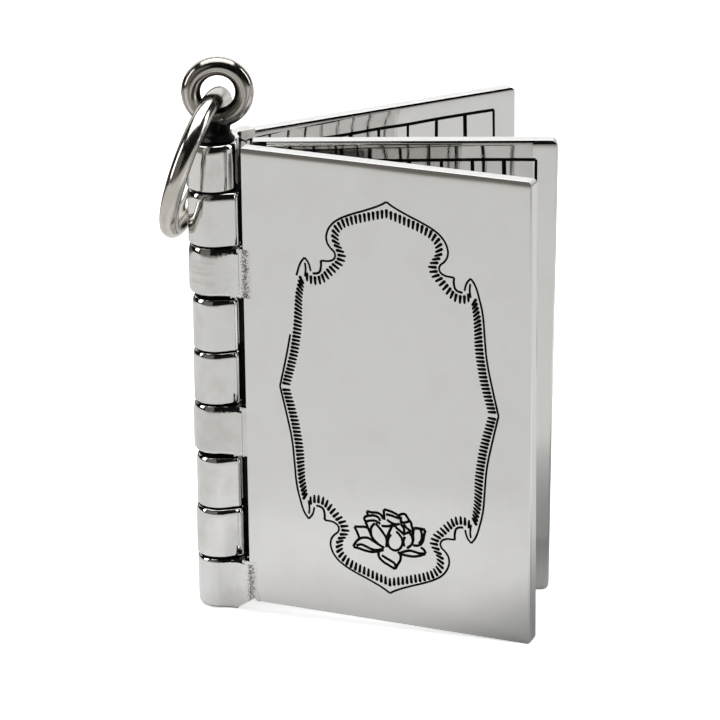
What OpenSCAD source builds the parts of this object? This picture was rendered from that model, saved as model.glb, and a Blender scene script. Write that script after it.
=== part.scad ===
// Miniature book pendant: two covers and one inner leaf that turn on a pin,
// with a hanging eye on the pin's upper end and a jump ring in it.
// Millimetres. The pin's axis is Z, its lower end is at the origin, and
// the eye lies in the XZ plane. The front cover opens towards -Y.

/* [Plates] */
// Thickness of the covers and of the inner leaf
plate_thickness = 1; // [0.6:0.1:1.4]
// Air between two plates that lie closed on each other
closed_gap = 0.1; // [0.05:0.05:0.3]
// Rounding of the plates' long edges
edge_round = 0.12; // [0.05:0.01:0.3]
// Distance of a cover's spine edge from the pin's axis
cover_spine = 2.65; // [2.2:0.05:3.5]

/* [Front cover] */
// Height of the front cover
front_height = 30; // [24:0.5:36]
// Distance of its free edge from the pin's axis
front_reach = 21.6; // [18:0.1:26]
// Height of its lower edge above the barrel's lower end
front_lift = 1; // [0.3:0.05:1.5]
// Radius of its free corners
front_corner = 0.35; // [0.15:0.05:1]
// Swing out of the XZ plane, as photographed
front_angle = 22.9; // [5:0.1:60]

/* [Middle leaf] */
// Height of the middle leaf
middle_height = 29.95; // [24:0.05:36]
// Distance of its free edge from the axis, at half height
middle_reach = 21.05; // [18:0.05:26]
// Slant of its upright edges: the leaf reaches a little further at the top
middle_slant = 0.9; // [0:0.1:2]
// Distance of its spine edge from the axis
middle_spine = 2.3; // [2:0.05:3.5]
// Height of its lower edge above the barrel's lower end
middle_lift = 0.85; // [0.3:0.05:1.5]
// Radius of its free corners
middle_corner = 0.5; // [0.15:0.05:1]
// Swing out of the XZ plane, as photographed
middle_angle = 1.6; // [0:0.1:10]

/* [Back cover] */
// Height of the back cover
back_height = 30.15; // [24:0.05:36]
// Distance of its free edge from the pin's axis
back_reach = 21.8; // [18:0.1:26]
// Height of its lower edge above the barrel's lower end
back_lift = 0.55; // [0.3:0.05:1.5]
// Radius of its free corners
back_corner = 0.35; // [0.15:0.05:1]
// Swing out of the XZ plane, as photographed
back_angle = 27.4; // [5:0.1:60]

/* [Barrel] */
// Heights of the ends and of the joins between the knuckles
seams = [0, 3.45, 6.8, 10.35, 13.8, 17.3, 20.9, 24.25, 27.8, 30.8];
// Air at each of those heights; none at the two ends
seam_gaps = [0, 0.18, 0.14, 0.3, 0.16, 0.14, 0.28, 0.14, 0.16, 0];
// Outer radius of each hand-made knuckle, from the lowest up
knuckle_radii = [1.48, 1.52, 1.42, 1.54, 1.46, 1.42, 1.6, 1.58, 1.6];
// Rounding of the knuckles' rims
rim_round = 0.28; // [0.1:0.02:0.4]
// Radius of the bore through the knuckles
bore_radius = 0.8; // [0.6:0.05:1]

/* [Pin and eye] */
// Radial air between the pin and the bores
pin_clearance = 0.05; // [0.02:0.01:0.1]
// Radius of the pin's peened lower end
peen_radius = 1.05; // [0.9:0.05:1.2]
// Height of the peened end
peen_height = 0.35; // [0.2:0.05:0.6]
// Offset of the eye from the pin's axis
eye_offset = 0.44; // [0:0.02:0.8]
// Height of the eye's centre
eye_height = 33.86; // [33:0.02:36]
// Radius of the eye, to the middle of its wire
eye_radius = 1.65; // [1.4:0.05:2.5]
// Radius of the eye's wire
eye_wire = 0.59; // [0.4:0.01:0.8]
// Radius of the neck under the eye
neck_radius = 0.64; // [0.4:0.02:0.9]
// Radius of the solder at the neck's foot
solder_radius = 1.15; // [0.8:0.05:1.4]
// Height of that solder
solder_height = 0.4; // [0.2:0.05:0.8]

/* [Jump ring] */
// Radius of the ring, to the middle of its wire
ring_radius = 4.34; // [4:0.01:6]
// Radius of the ring's wire
ring_wire = 0.6; // [0.4:0.02:0.8]
// Distance of the wire's middle from the middle of the eye's hole
ring_seat = 0.4; // [0.2:0.02:0.4]
// Lean of the hanging ring away from the pin's axis
ring_lean = 17.6; // [10:0.1:30]
// Turn of the ring about the line it hangs along
ring_twist = 13.9; // [0:0.1:30]

/* [Hidden] */
$fn = 96;
cover_inner = plate_thickness / 2 + closed_gap;
cover_middle = cover_inner + plate_thickness / 2;
pin_radius = bore_radius - pin_clearance;
barrel_height = seams[len(seams) - 1];
solder_gap = 0.05;
solder_offset = 0.3;
neck_sink = 0.25;
web_trim = 0.04;
web_overlap = 0.5;
web_angle = 50;
web_valley = 1.85;
web_skin = 0.1;
web_inner = 1.9;
wide = 60;
sheet_margin = 1;
front_knuckles = [0, 3, 6];
middle_knuckles = [1, 4, 7];
back_knuckles = [2, 5, 8];

// Rectangle about the origin with four rounded corners
module rounded_rectangle(length, depth, radius) {
    square([length - 2 * radius, depth], center = true);
    square([length, depth - 2 * radius], center = true);
    for (x = [-1, 1], y = [-1, 1])
        translate([x * (length / 2 - radius), y * (depth / 2 - radius)])
            circle(radius);
}

// Sheet about the origin: X its width, Y its thickness, Z its height,
// with rounded long edges and two rounded corners at +X. A slant leans its
// upright edges, which makes the sheet reach further at the top.
function corner_x(width, slant, corner, z) = (width / 2 - corner + z * sin(slant)) / cos(slant);

module sheet(width, height, corner, slant) {
    up = height / 2 - corner;
    low_x = corner_x(width, slant, corner, -up);
    high_x = corner_x(width, slant, corner, up);
    intersection() {
        rotate([0, slant, 0])
            translate([0, 0, -height / 2 - sheet_margin])
                linear_extrude(height + 2 * sheet_margin)
                    rounded_rectangle(width, plate_thickness, edge_round);
        rotate([90, 0, 90])
            translate([0, 0, -width / 2 - sheet_margin])
                linear_extrude(width + 2 * sheet_margin)
                    rounded_rectangle(plate_thickness, height, edge_round);
        rotate([90, 0, 0])
            translate([0, 0, -plate_thickness])
                linear_extrude(2 * plate_thickness)
                    union() {
                        polygon([
                            [-width / 2 - sheet_margin, -height / 2],
                            [low_x, -height / 2],
                            [low_x + corner * cos(slant), -up - corner * sin(slant)],
                            [high_x + corner * cos(slant), up - corner * sin(slant)],
                            [high_x, height / 2],
                            [-width / 2 - sheet_margin, height / 2]
                        ]);
                        translate([low_x, -up])
                            circle(corner);
                        translate([high_x, up])
                            circle(corner);
                    }
    }
}

// Tube of one knuckle with rounded outer rims; the bore is left to be cut
function knuckle_low(i) = seams[i] + seam_gaps[i] / 2;
function knuckle_high(i) = seams[i + 1] - seam_gaps[i + 1] / 2;

module knuckle(i) {
    radius = knuckle_radii[i];
    low = knuckle_low(i);
    high = knuckle_high(i);
    rotate_extrude()
        union() {
            translate([0, low])
                square([radius - rim_round, high - low]);
            translate([0, low + rim_round])
                square([radius, high - low - 2 * rim_round]);
            for (z = [low + rim_round, high - rim_round])
                translate([radius - rim_round, z])
                    circle(rim_round);
        }
}

// Metal between a knuckle and its cover: outside, it dips behind the knuckle's
// side and rises to the cover's outer face. The cover's outer side is at -Y.
module cover_web(i, lift) {
    low = max(knuckle_low(i) + web_trim, lift + web_trim);
    high = knuckle_high(i) - web_trim;
    side = knuckle_radii[i] - web_trim;
    translate([0, 0, low])
        linear_extrude(high - low)
            polygon([
                [0, 0],
                [side * sin(web_angle), -side * cos(web_angle)],
                [web_valley, -cover_inner - web_skin],
                [cover_spine, -cover_inner - plate_thickness + edge_round / 2],
                [cover_spine + web_overlap, -cover_inner - plate_thickness + edge_round],
                [cover_spine + web_overlap, -cover_inner],
                [web_inner, -cover_inner],
                [web_inner, 0]
            ]);
}

module bore() {
    translate([0, 0, -wide / 2])
        cylinder(h = wide * 2, r = bore_radius);
}

// One cover in its closed place: outer face at -Y
module closed_cover(height, reach, lift, corner, knuckles) {
    difference() {
        union() {
            translate([(cover_spine + reach) / 2, -cover_middle, lift + height / 2])
                sheet(reach - cover_spine, height, corner, 0);
            for (i = knuckles) {
                knuckle(i);
                cover_web(i, lift);
            }
        }
        bore();
    }
}

module front_cover() {
    color("silver")
        rotate([0, 0, -front_angle])
            difference() {
                closed_cover(front_height, front_reach, front_lift, front_corner, front_knuckles);
                // seat of the pin's peened end in the lowest knuckle
                translate([0, 0, -pin_clearance])
                    cylinder(
                        h = peen_height + 2 * pin_clearance,
                        r1 = peen_radius + 2 * pin_clearance,
                        r2 = bore_radius
                    );
            }
}

module back_cover() {
    color("silver")
        rotate([0, 0, back_angle])
            mirror([0, 1, 0])
                closed_cover(back_height, back_reach, back_lift, back_corner, back_knuckles);
}

module middle_leaf() {
    color("silver")
        rotate([0, 0, -middle_angle])
            difference() {
                union() {
                    translate([
                        (middle_spine + middle_reach) / 2,
                        0,
                        middle_lift + middle_height / 2
                    ])
                        sheet(
                            middle_reach - middle_spine,
                            middle_height,
                            middle_corner,
                            middle_slant
                        );
                    for (i = middle_knuckles) {
                        knuckle(i);
                        low = knuckle_low(i) + web_trim;
                        high = knuckle_high(i) - web_trim;
                        translate([0, -plate_thickness / 2, low])
                            cube([middle_spine + web_overlap, plate_thickness, high - low]);
                    }
                }
                bore();
            }
}

module hinge_pin() {
    color("silver")
        union() {
            cylinder(h = barrel_height + solder_gap + solder_height / 2, r = pin_radius);
            cylinder(h = peen_height, r1 = peen_radius, r2 = pin_radius);
            translate([solder_offset, 0, barrel_height + solder_gap])
                cylinder(h = solder_height, r1 = solder_radius, r2 = neck_radius);
            translate([eye_offset, 0, barrel_height + solder_gap])
                cylinder(
                    h = eye_height - eye_radius - eye_wire + neck_sink - barrel_height,
                    r = neck_radius
                );
            translate([eye_offset, 0, eye_height])
                rotate([90, 0, 0])
                    rotate_extrude()
                        translate([eye_radius, 0])
                            circle(eye_wire);
        }
}

module jump_ring() {
    color("silver")
        translate([eye_offset, 0, eye_height])
            rotate([0, ring_lean, 0])
                rotate([0, 0, -ring_twist])
                    translate([0, 0, -ring_seat - ring_radius])
                        rotate([0, 90, 0])
                            rotate_extrude()
                                translate([ring_radius, 0])
                                    circle(ring_wire);
}

hinge_pin();
middle_leaf();
front_cover();
back_cover();
jump_ring();
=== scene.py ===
"""Dresses the frame of a small silver book pendant: its pin and eye, its three engraved
leaves and its jump ring, and sets a pale floor, soft lights and a camera around it.

Pieces are modelled in millimetres, because Blender's remesh and merge limits are too
coarse for jewellery in metres, and are brought to metres when they are finished.
"""

import math
import random

import bpy
from bpy.props import FloatProperty, FloatVectorProperty, IntProperty, PointerProperty
from bpy.types import Operator, Panel, PropertyGroup
from mathutils import Matrix, Vector


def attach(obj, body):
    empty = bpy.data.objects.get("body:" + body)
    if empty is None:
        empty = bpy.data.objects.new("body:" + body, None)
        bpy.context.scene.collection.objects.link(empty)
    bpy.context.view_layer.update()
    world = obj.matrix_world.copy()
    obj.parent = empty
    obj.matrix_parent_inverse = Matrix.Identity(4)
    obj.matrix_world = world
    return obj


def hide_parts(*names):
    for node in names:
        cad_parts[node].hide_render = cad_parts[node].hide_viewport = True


bl_info = {
    "name": "Silver book pendant",
    "version": (1, 0, 0),
    "blender": (4, 5, 0),
    "location": "3D View > Sidebar > Pendant",
    "description": "Dresses the frame of a silver book pendant with engraving, polish and light",
    "category": "Add Mesh",
}

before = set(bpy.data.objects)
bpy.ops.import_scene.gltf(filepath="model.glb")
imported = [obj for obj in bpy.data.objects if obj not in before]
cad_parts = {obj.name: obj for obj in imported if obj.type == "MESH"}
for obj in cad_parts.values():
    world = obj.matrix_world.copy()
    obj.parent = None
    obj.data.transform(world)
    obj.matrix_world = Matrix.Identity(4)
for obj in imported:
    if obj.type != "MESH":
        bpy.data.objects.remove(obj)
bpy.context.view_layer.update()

MM = 0.001
# The plane that the barrel's end and the leaves' free corners stand on, in millimetres
FLOOR_NORMAL = (-0.0434, 0.0225, 1)
FLOOR_DROP = -0.055
FLOOR_SIZE = (900, 700)
FLOOR_RISE = 420
FLOOR_BEND = 150

# The barrel: heights of its joins and ends, the air at each, and the knuckles' radii
SEAMS = (0, 3.45, 6.8, 10.35, 13.8, 17.3, 20.9, 24.25, 27.8, 30.8)
SEAM_GAPS = (0, 0.18, 0.14, 0.3, 0.16, 0.14, 0.28, 0.14, 0.16, 0)
KNUCKLE_RADII = (1.48, 1.52, 1.42, 1.54, 1.46, 1.42, 1.6, 1.58, 1.6)
FRONT_KNUCKLES = (0, 3, 6)
MIDDLE_KNUCKLES = (1, 4, 7)
BACK_KNUCKLES = (2, 5, 8)
# How far down each knuckle its upper rim's rounding reaches
RIM_HEIGHTS = (0.3, 0.55, 0.5, 1.0, 0.5, 0.55, 1.0, 0.55, 0.6)
# How far forward the corner of each knuckle's squarer right side lies, as a share of its
# radius; none for the round one at the top and for the front cover's
SQUARENESS = (0, 0.74, 0.76, 0, 0.76, 0.76, 0, 0.85, 0)
# Where the upper edge of the front cover's webs rises towards the plate, and how much
WEB_RISE = ((1.66, 0.09), (2.0, 0.1), (2.4, 0.1))
# Where the front cover's upper rims draw in less and less towards the webs, and their share
RIM_FADE = (0.8, 1.1, 1.4, 1.7, 2.0)
FADE_SHARE = 0.74
# The front cover's knuckle whose web lies flush with the plate
FLUSH_WEB = 3
# A cover's knuckle, seen with its cover closed: the directions of its round part, then the
# web that dips behind the tube's side and runs into the plate, with True for a sharp corner
COVER_TUBE = (-170, -140, -110, -80, -50, -20, 10, 30)
COVER_TUBE_BACK = (112, 135, 162)
COVER_WEB = (
    (1.3, -1.2, False), (1.72, -1.2, False), (2.15, -1.36, False), (2.5, -1.53, False),
    (2.72, -1.605, False), (3.05, -1.607, False), (3.3, -1.596, True), (3.3, -0.62, True),
    (2.1, -0.62, True), (1.85, -0.2, False), (1.75, 0.25, False),
)
# The blocks that trim the lowest web: place, length and lean of each
FOOT_CUTS = ((1.45, 0.08, 1.9, -36), (3.3, 0.995, 1.2, 0))
PEEN_RADIUS = 1.05
PEEN_HEIGHT = 0.35
# The pin's length above the barrel, the neck's foot above it, and the cone of solder there
PIN_OVER = 0.15
NECK_FOOT = 0.06
SOLDER_PLACE, SOLDER_RADIUS, SOLDER_HEIGHT = 0.3, 1.2, 0.55
# The middle leaf is dark up to here, where no polishing wheel reaches
DARK_SPINE = 3.4
# Above this height the back cover's uppermost web is bright
BRIGHT_WEB = 29.6
# A thin sheet along the back cover's spine edge that closes the slots beside the barrel,
# dark in front as painted shade there: where it starts, its width and thickness
SHADE_SHEET_START, SHADE_SHEET_WIDTH, SHADE_SHEET_DEPTH = 1.74, 1.2, 0.36

# Where the engraving stands: the cartouche's shift from the cover's middle, the pages'
# columns, and how far the pages' frames stay off the edges where the margin isn't kept
CARTOUCHE_SHIFT = (0.12, -0.14)
COLUMNS, BACK_COLUMNS = 9, 6
FRONT_PAGE_SPINE = 0.4
MIDDLE_PAGE_SPINE, MIDDLE_PAGE_END, MIDDLE_PAGE_TOP = 0.25, 19.9, 1.2
BACK_PAGE_START, BACK_PAGE_SIDE, BACK_PAGE_TOP = 7.8, 1.6, 1.25
# A face counts as level, or as turned to an end, from this share of its normal
FACING = 0.9
LEVEL = 0.95

# Where the solder line runs up beside the barrel, how far it fades out and in, and its colour
SEAM_PLACE = (1.96, -2.5, 0)
SEAM_FADE = (0.42, 0.1)
SEAM_COLOUR = (0.13, 0.115, 0.1)
# Where the eye is dark, from light to dark: towards its hole, as painted shade, and down to
# the neck, as dark solder
HOLE_SHADE_FADE = (1.45, 1.18)
NECK_FADE = (32.9, 31.9)
# The patina of the eye, between its streaks and in them
PATINA_LIGHT, PATINA_BROWN = (0.62, 0.6, 0.57), (0.24, 0.208, 0.178)
WORN_OXIDE = (0.2, 0.19, 0.18)
# The silver's tint on the front cover's knuckles and on the jump ring
SEAMED_TINT = (0.95, 0.95, 0.95)
RING_TINT = (0.82, 0.79, 0.745)
SCRATCH_WAYS = ((0.35, (1.0, 1.0, 0.03)), (-0.9, (0.05, 0.05, 1.0)))

# Engraving on the front cover, in millimetres from the middle of its face. Each line is a
# quarter of the cartouche, which is the same four times over.
CARTOUCHE_LINES = (
    ((0, 12.85), (0.4, 12.6), (1.4, 12.15), (2.4, 11.75), (3.1, 11.4), (3.6, 11.0), (3.92, 10.45),
     (3.96, 9.9), (3.75, 9.5), (3.45, 9.2), (3.42, 8.9), (3.65, 8.66), (4.36, 8.56)),
    ((4.36, 8.58), (4.36, 8.15), (4.5, 7.78), (4.92, 7.66)),
    ((5.04, 7.8), (5.18, 8.3), (5.44, 8.64)),
    ((5.42, 8.3), (5.38, 7.9), (5.44, 7.4)),
    ((5.44, 8.64), (5.72, 8.25), (6.0, 7.4), (6.22, 6.4), (6.34, 5.0), (6.48, 3.5), (6.8, 1.9), (7.24, 0)),
)
# In the upper left quarter the last line is worn away between its third and sixth points
WORN = (3, 5)
# Where the short strokes inside the cartouche stand, and how far a stroke's outer end
# leans outwards there in degrees from upright, again for a quarter of it
STROKE_STATIONS = (
    (0.0, 12.1, 0), (0.9, 11.85, 2), (2.15, 11.45, 8), (2.8, 11.17, 20), (3.25, 10.8, 38),
    (3.42, 10.35, 55), (3.35, 9.85, 68), (3.1, 9.4, 80), (2.95, 9.0, 88), (3.1, 8.6, 70),
    (3.55, 8.15, 50), (3.98, 7.68, 35), (4.35, 7.32, 14), (4.92, 7.18, 0), (5.35, 7.42, 0),
)
FLANK_STATIONS = (
    (5.66, 7.15, 32), (5.86, 6.1, 52), (5.92, 5.1, 66), (5.96, 4.3, 80), (6.05, 3.5, 87),
    (6.25, 2.3, 83), (6.5, 1.3, 83), (6.84, 0.1, 85),
)

# The lotus under the empty field, in millimetres from its own middle
LOTUS_CENTRE = (0.125, -9.4)
LOTUS_LINES = (
    # outer left petal
    ((-1.2, 0.05), (-1.35, 0.4), (-1.48, 0.6), (-2.0, 0.6), (-2.36, 0.55)),
    ((-2.36, 0.55), (-2.2, 0.25), (-2.03, -0.15)),
    # long lower left petal
    ((-2.45, -0.8), (-2.25, -0.45), (-2.0, -0.2), (-1.7, -0.08), (-1.4, -0.08), (-1.05, -0.25),
     (-0.7, -0.42), (-0.35, -0.58)),
    ((-2.25, -0.7), (-1.9, -0.58), (-1.6, -0.66), (-1.25, -0.78), (-0.9, -0.8), (-0.4, -0.65)),
    ((-2.45, -0.82), (-2.05, -0.87), (-1.65, -0.95), (-1.25, -0.98), (-0.8, -0.88), (-0.4, -0.72)),
    # tall petal left of the middle
    ((-0.95, 1.0), (-1.2, 0.7), (-1.25, 0.35), (-1.12, -0.05), (-0.75, -0.38)),
    ((-0.93, 1.0), (-0.65, 0.7), (-0.38, 0.36), (-0.21, 0.08), (-0.22, -0.52)),
    # round middle petal
    ((0.1, 0.42), (-0.1, 0.0), (-0.06, -0.4), (0.22, -0.62), (0.55, -0.58), (0.82, -0.25),
     (0.86, 0.12), (0.7, 0.43), (0.45, 0.66)),
    # narrow petal right of the middle
    ((1.03, 0.4), (0.93, 0.06), (0.98, -0.28)),
    ((1.28, 0.75), (1.52, 0.42), (1.52, 0.02), (1.16, -0.38)),
    # upright right petal
    ((1.58, 0.2), (1.58, 0.8), (1.65, 1.02), (1.97, 1.08), (2.4, 1.05)),
    ((2.4, 1.05), (2.3, 0.6), (2.2, 0.2), (1.96, -0.05), (1.56, -0.11)),
    ((2.1, 1.0), (2.17, 0.65), (2.1, 0.25), (1.96, 0.05)),
    # long lower right petal
    ((0.7, -0.76), (1.02, -0.6), (1.36, -0.5), (1.7, -0.53), (2.05, -0.58), (2.42, -0.52)),
    ((2.42, -0.52), (2.3, -0.3), (2.08, -0.16)),
    ((0.68, -0.82), (1.15, -0.86), (1.55, -0.86), (1.96, -0.76), (2.38, -0.56)),
    # lowest petal with its turned edge
    ((-0.72, -0.8), (-0.73, -1.2), (-0.46, -1.5), (-0.06, -1.7), (0.36, -1.9)),
    ((0.36, -1.9), (0.54, -1.55), (0.72, -1.2), (0.7, -0.85), (0.55, -0.7)),
    ((-0.53, -1.1), (-0.2, -1.26), (0.15, -1.42), (0.34, -1.55), (0.4, -1.8)),
    # small upper left petals
    ((-1.5, 1.74), (-1.24, 1.69), (-0.72, 1.7), (-0.5, 1.55), (-0.42, 1.35)),
    ((-1.5, 1.74), (-1.4, 1.46), (-1.1, 1.5), (-0.75, 1.42), (-0.6, 1.2)),
    ((-1.42, 1.42), (-1.65, 1.3), (-1.62, 1.06), (-1.3, 1.12), (-0.95, 1.16), (-0.6, 1.0)),
    ((-1.62, 1.06), (-1.5, 0.75), (-1.38, 0.5)),
    # top petal
    ((-0.33, 1.3), (-0.36, 1.68), (-0.36, 2.02)),
    ((-0.36, 2.02), (-0.08, 1.98), (0.31, 1.88), (0.64, 1.7), (0.77, 1.4), (0.8, 1.18)),
    ((-0.23, 1.7), (0.1, 1.68), (0.44, 1.6), (0.64, 1.56)),
    ((-0.17, 1.35), (0.1, 1.21), (0.43, 1.13), (0.7, 1.2)),
    # small upper right petals
    ((0.64, 1.76), (0.84, 1.88), (1.05, 1.9), (1.17, 1.76), (1.31, 1.56), (1.44, 1.4), (1.5, 1.15),
     (1.57, 0.95)),
    ((0.77, 1.7), (0.84, 1.35), (1.17, 1.4), (1.37, 1.5)),
    ((0.95, 1.24), (1.17, 0.98), (1.43, 0.84)),
    ((0.43, 0.92), (0.76, 0.7), (1.03, 0.48)),
    ((0.77, 1.18), (0.97, 0.94), (1.03, 0.62), (1.23, 0.7), (1.5, 0.85)),
    # stamens in the middle
    ((-0.54, 0.88), (-0.1, 0.92), (0.17, 1.02), (0.5, 0.96)),
    ((0.16, 0.95), (0.03, 0.66), (-0.1, 0.36), (-0.21, 0.08)),
)


def number(name, description, default, **limits):
    """A number for the sidebar: a length in millimetres, unless it says otherwise."""
    return FloatProperty(name=name, description=description, default=default, **limits)


def colour(name, description, default):
    return FloatVectorProperty(name=name, description=description, subtype="COLOR", default=default)


class LeafSizes(PropertyGroup):
    """Sizes of the three leaves, in millimetres, and their swing in degrees."""

    thickness: number("Thickness", "Thickness of each plate", 1.0, min=0.6, max=1.4)
    air: number("Air", "Air between closed plates", 0.1, min=0.05, max=0.3)
    edge_deep: number("Edge depth", "Rounding of an edge across the plate", 0.11)
    edge_wide: number("Edge width", "Rounding along the face, above and below", 0.85)
    edge_free: number("Free edge width", "Rounding along the face at the side", 0.22)
    edge_spine: number("Spine edge width", "Rounding at the spine edge", 0.12)
    cover_spine: number("Cover spine", "Distance of a cover's spine edge from the pin", 2.65)
    front_height: number("Front height", "Height of the front cover", 30)
    front_reach: number("Front reach", "Free edge's distance from the pin", 21.6)
    front_lift: number("Front lift", "Lower edge above the pin's end", 1)
    front_corner: number("Front corner", "Radius of the free corners", 0.35)
    front_swing: number("Front swing", "Turn of the front cover, in degrees", 22.9)
    middle_height: number("Middle height", "Height of the middle leaf", 29.95)
    middle_reach: number("Middle reach", "Free edge's distance from the pin", 21.05)
    middle_spine: number("Middle spine", "Spine edge's distance from the pin", 2.3)
    middle_lift: number("Middle lift", "Lower edge above the pin's end", 0.85)
    middle_corner: number("Middle corner", "Radius of the free corners", 0.5)
    middle_slant: number("Middle slant", "Slant of its edges, in degrees", 0.9)
    middle_swing: number("Middle swing", "Turn of the middle leaf, in degrees", 1.6)
    back_height: number("Back height", "Height of the back cover", 30.15)
    back_reach: number("Back reach", "Free edge's distance from the pin", 21.8)
    back_lift: number("Back lift", "Lower edge above the pin's end", 0.55)
    back_corner: number("Back corner", "Radius of the free corners", 0.35)
    back_swing: number("Back swing", "Turn of the back cover, in degrees", 27.4)


class BarrelSizes(PropertyGroup):
    """Sizes of the pin, its knuckles, the eye and the jump ring, in millimetres."""

    sides: IntProperty(name="Sides", description="Sides of a knuckle", default=96, min=24, max=192)
    rim_in: number("Rim depth", "How far an upper rim draws in", 0.19)
    rim_low: number("Lower rim", "Rounding of a lower rim", 0.07)
    rim_front: number("Front lower rim", "The same on the front cover", 0.3)
    rim_end: number("Rim end", "Where a rim's rounding ends towards a web", 1.62)
    rim_web: number("Rim end in front", "The same on the front cover", 2.3)
    corner: number("Corner", "Softness of a squarer knuckle's corner", 0.16)
    bore: number("Bore", "Radius of the bores", 0.8)
    pin: number("Pin", "Radius of the pin", 0.75)
    eye_offset: number("Eye offset", "Distance of the eye from the pin's axis", 0.44)
    eye_height: number("Eye height", "Height of the eye's middle", 33.86)
    eye_radius: number("Eye radius", "Radius to the middle of the wire", 1.65)
    eye_wire: number("Eye wire", "Radius of the eye's wire", 0.59)
    neck: number("Neck", "Radius of the neck", 0.74)
    ring_radius: number("Ring radius", "Radius to the middle of the wire", 4.34)
    ring_wire: number("Ring wire", "Radius of the ring's wire", 0.599)
    ring_seat: number("Ring seat", "Ring's wire below the eye's middle", 0.4)
    ring_lean: number("Ring lean", "Lean of the hanging ring, in degrees", 17.6)
    ring_twist: number("Ring twist", "Turn about its hanging line, in degrees", 13.9)


class EngravingSizes(PropertyGroup):
    """Widths and spacings of the engraved lines, in millimetres."""

    line: number("Line", "Width of the cartouche's line", 0.16)
    stroke: number("Stroke", "Width of a short stroke", 0.22)
    stroke_length: number("Stroke length", "Length of a short stroke", 0.58)
    stroke_pitch: number("Stroke pitch", "Distance between strokes", 0.3)
    petal: number("Petal line", "Width of the lotus's lines", 0.21)
    rule: number("Page rule", "Width of a page's column lines", 0.24)
    margin: number("Page margin", "Plate left free above and beside a page", 1.45)


class SilverLook(PropertyGroup):
    """Colours and polish of the metal, and the strength of the lights."""

    silver: colour("Silver", "Colour of the polished silver", (0.74, 0.735, 0.72))
    tarnish: colour("Tarnish", "Colour of faint tarnish", (0.5, 0.47, 0.42))
    # The oxide's colour also paints shade in the eye's hole, beside the neck and in the slots beside the
    # barrel, and a dark reflection on the front cover's upper rims
    oxide: colour("Oxide", "Colour of the darkened engraving", (0.005, 0.005, 0.005))
    plate_roughness: number("Plate roughness", "Satin of the plates", 0.035)
    polish_roughness: number("Polish", "Roughness of barrel and rings", 0.07)
    floor: colour("Floor", "Colour of the floor", (0.9, 0.9, 0.9))
    # Tones of the floor that only the silver's reflections see, and where they fade: painted reflections of
    # the lit floor in front, painted shade right of the cover, and painted darkness behind and far in front
    floor_near: colour("Reflected floor", "Floor in reflections, in front", (0.68, 0.68, 0.675))
    floor_shade: colour("Reflected shade", "In reflections, right of the cover", (0.31, 0.31, 0.305))
    floor_far: colour("Reflected floor behind", "Floor in reflections, behind", (0.1, 0.095, 0.085))
    floor_front: colour("Reflected floor ahead", "In reflections, far in front", (0.34, 0.315, 0.285))
    fade_start: number("Fade start", "Where the floor behind begins to darken", 55)
    fade: number("Fade", "Where the floor behind is darkest", 95)
    # Painted light: the floor glows to the camera, which lightens its shadows, and the wall glows in the
    # silver's reflections
    glow: number("Floor glow", "Light of the floor itself, to the camera", 0.72)
    wall_glow: number("Wall glow", "Light of the wall itself, in reflections", 0.3)
    wall_low: number("Wall low", "Height where the wall starts to brighten", 70)
    wall_high: number("Wall high", "Height where the wall is white", 110)
    top_light: number("Top light", "Power of the overhead softbox", 2.3, unit="POWER")
    left_light: number("Left light", "Power of the left softbox", 0.3, unit="POWER")
    right_light: number("Right light", "Power of the right strip", 0.2, unit="POWER")
    panel_light: number("Panel light", "Power of the grey panel", 0.06, unit="POWER")
    room: number("Room", "Brightness of the dark room", 0.008)


class CameraView(PropertyGroup):
    """The photograph's point of view, in millimetres and degrees."""

    elevation: number("Elevation", "Degrees above the horizon", 20.57)
    distance: number("Distance", "Distance from what it looks at", 269.5)
    roll: number("Roll", "Turn about the line of sight, in degrees", -0.67)
    across: number("Across", "X of the point looked at", 8.96)
    height: number("Height", "Z of the point looked at", 16.22)
    lens: number("Lens", "Focal length on a 36 mm sensor", 215.2)


def deselect_all():
    if bpy.context.mode != "OBJECT":
        bpy.ops.object.mode_set(mode="OBJECT")
    bpy.ops.object.select_all(action="DESELECT")


def take(piece):
    """Leaves one object selected and active."""
    deselect_all()
    piece.select_set(True)
    bpy.context.view_layer.objects.active = piece


def fix_place(piece, **place):
    """Sets an object's place, turn or size where given, and moves them into its mesh."""
    for name, value in place.items():
        setattr(piece, name, value)
    take(piece)
    bpy.ops.object.transform_apply(location=True, rotation=True, scale=True)


def shape_with(piece, kind, **values):
    """Adds one modifier and applies it."""
    modifier = piece.modifiers.new(kind.title(), kind)
    for name, value in values.items():
        setattr(modifier, name, value)
    take(piece)
    bpy.ops.object.modifier_apply(modifier=modifier.name)


def join(pieces, name):
    take(pieces[0])
    for piece in pieces[1:]:
        piece.select_set(True)
    if len(pieces) > 1:
        bpy.ops.object.join()
    joined = bpy.context.view_layer.objects.active
    joined.name = name
    joined.data.name = name
    return joined


def edit_none(piece, kind):
    """Sets the kind of element to select and leaves none selected."""
    take(piece)
    bpy.ops.object.mode_set(mode="EDIT")
    bpy.ops.mesh.select_mode(type=kind)
    bpy.ops.mesh.select_all(action="DESELECT")
    bpy.ops.object.mode_set(mode="OBJECT")


def edit_faces(piece, wanted):
    """Enters edit mode with only the faces selected whose centre and normal are wanted."""
    edit_none(piece, "FACE")
    for face in piece.data.polygons:
        face.select = wanted(face.center, face.normal)
    bpy.ops.object.mode_set(mode="EDIT")


def edit_edges(piece, wanted):
    """Enters edit mode with only the edges selected whose two ends are wanted."""
    edit_none(piece, "EDGE")
    points = piece.data.vertices
    for edge in piece.data.edges:
        edge.select = wanted(points[edge.vertices[0]].co, points[edge.vertices[1]].co)
    bpy.ops.object.mode_set(mode="EDIT")


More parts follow.
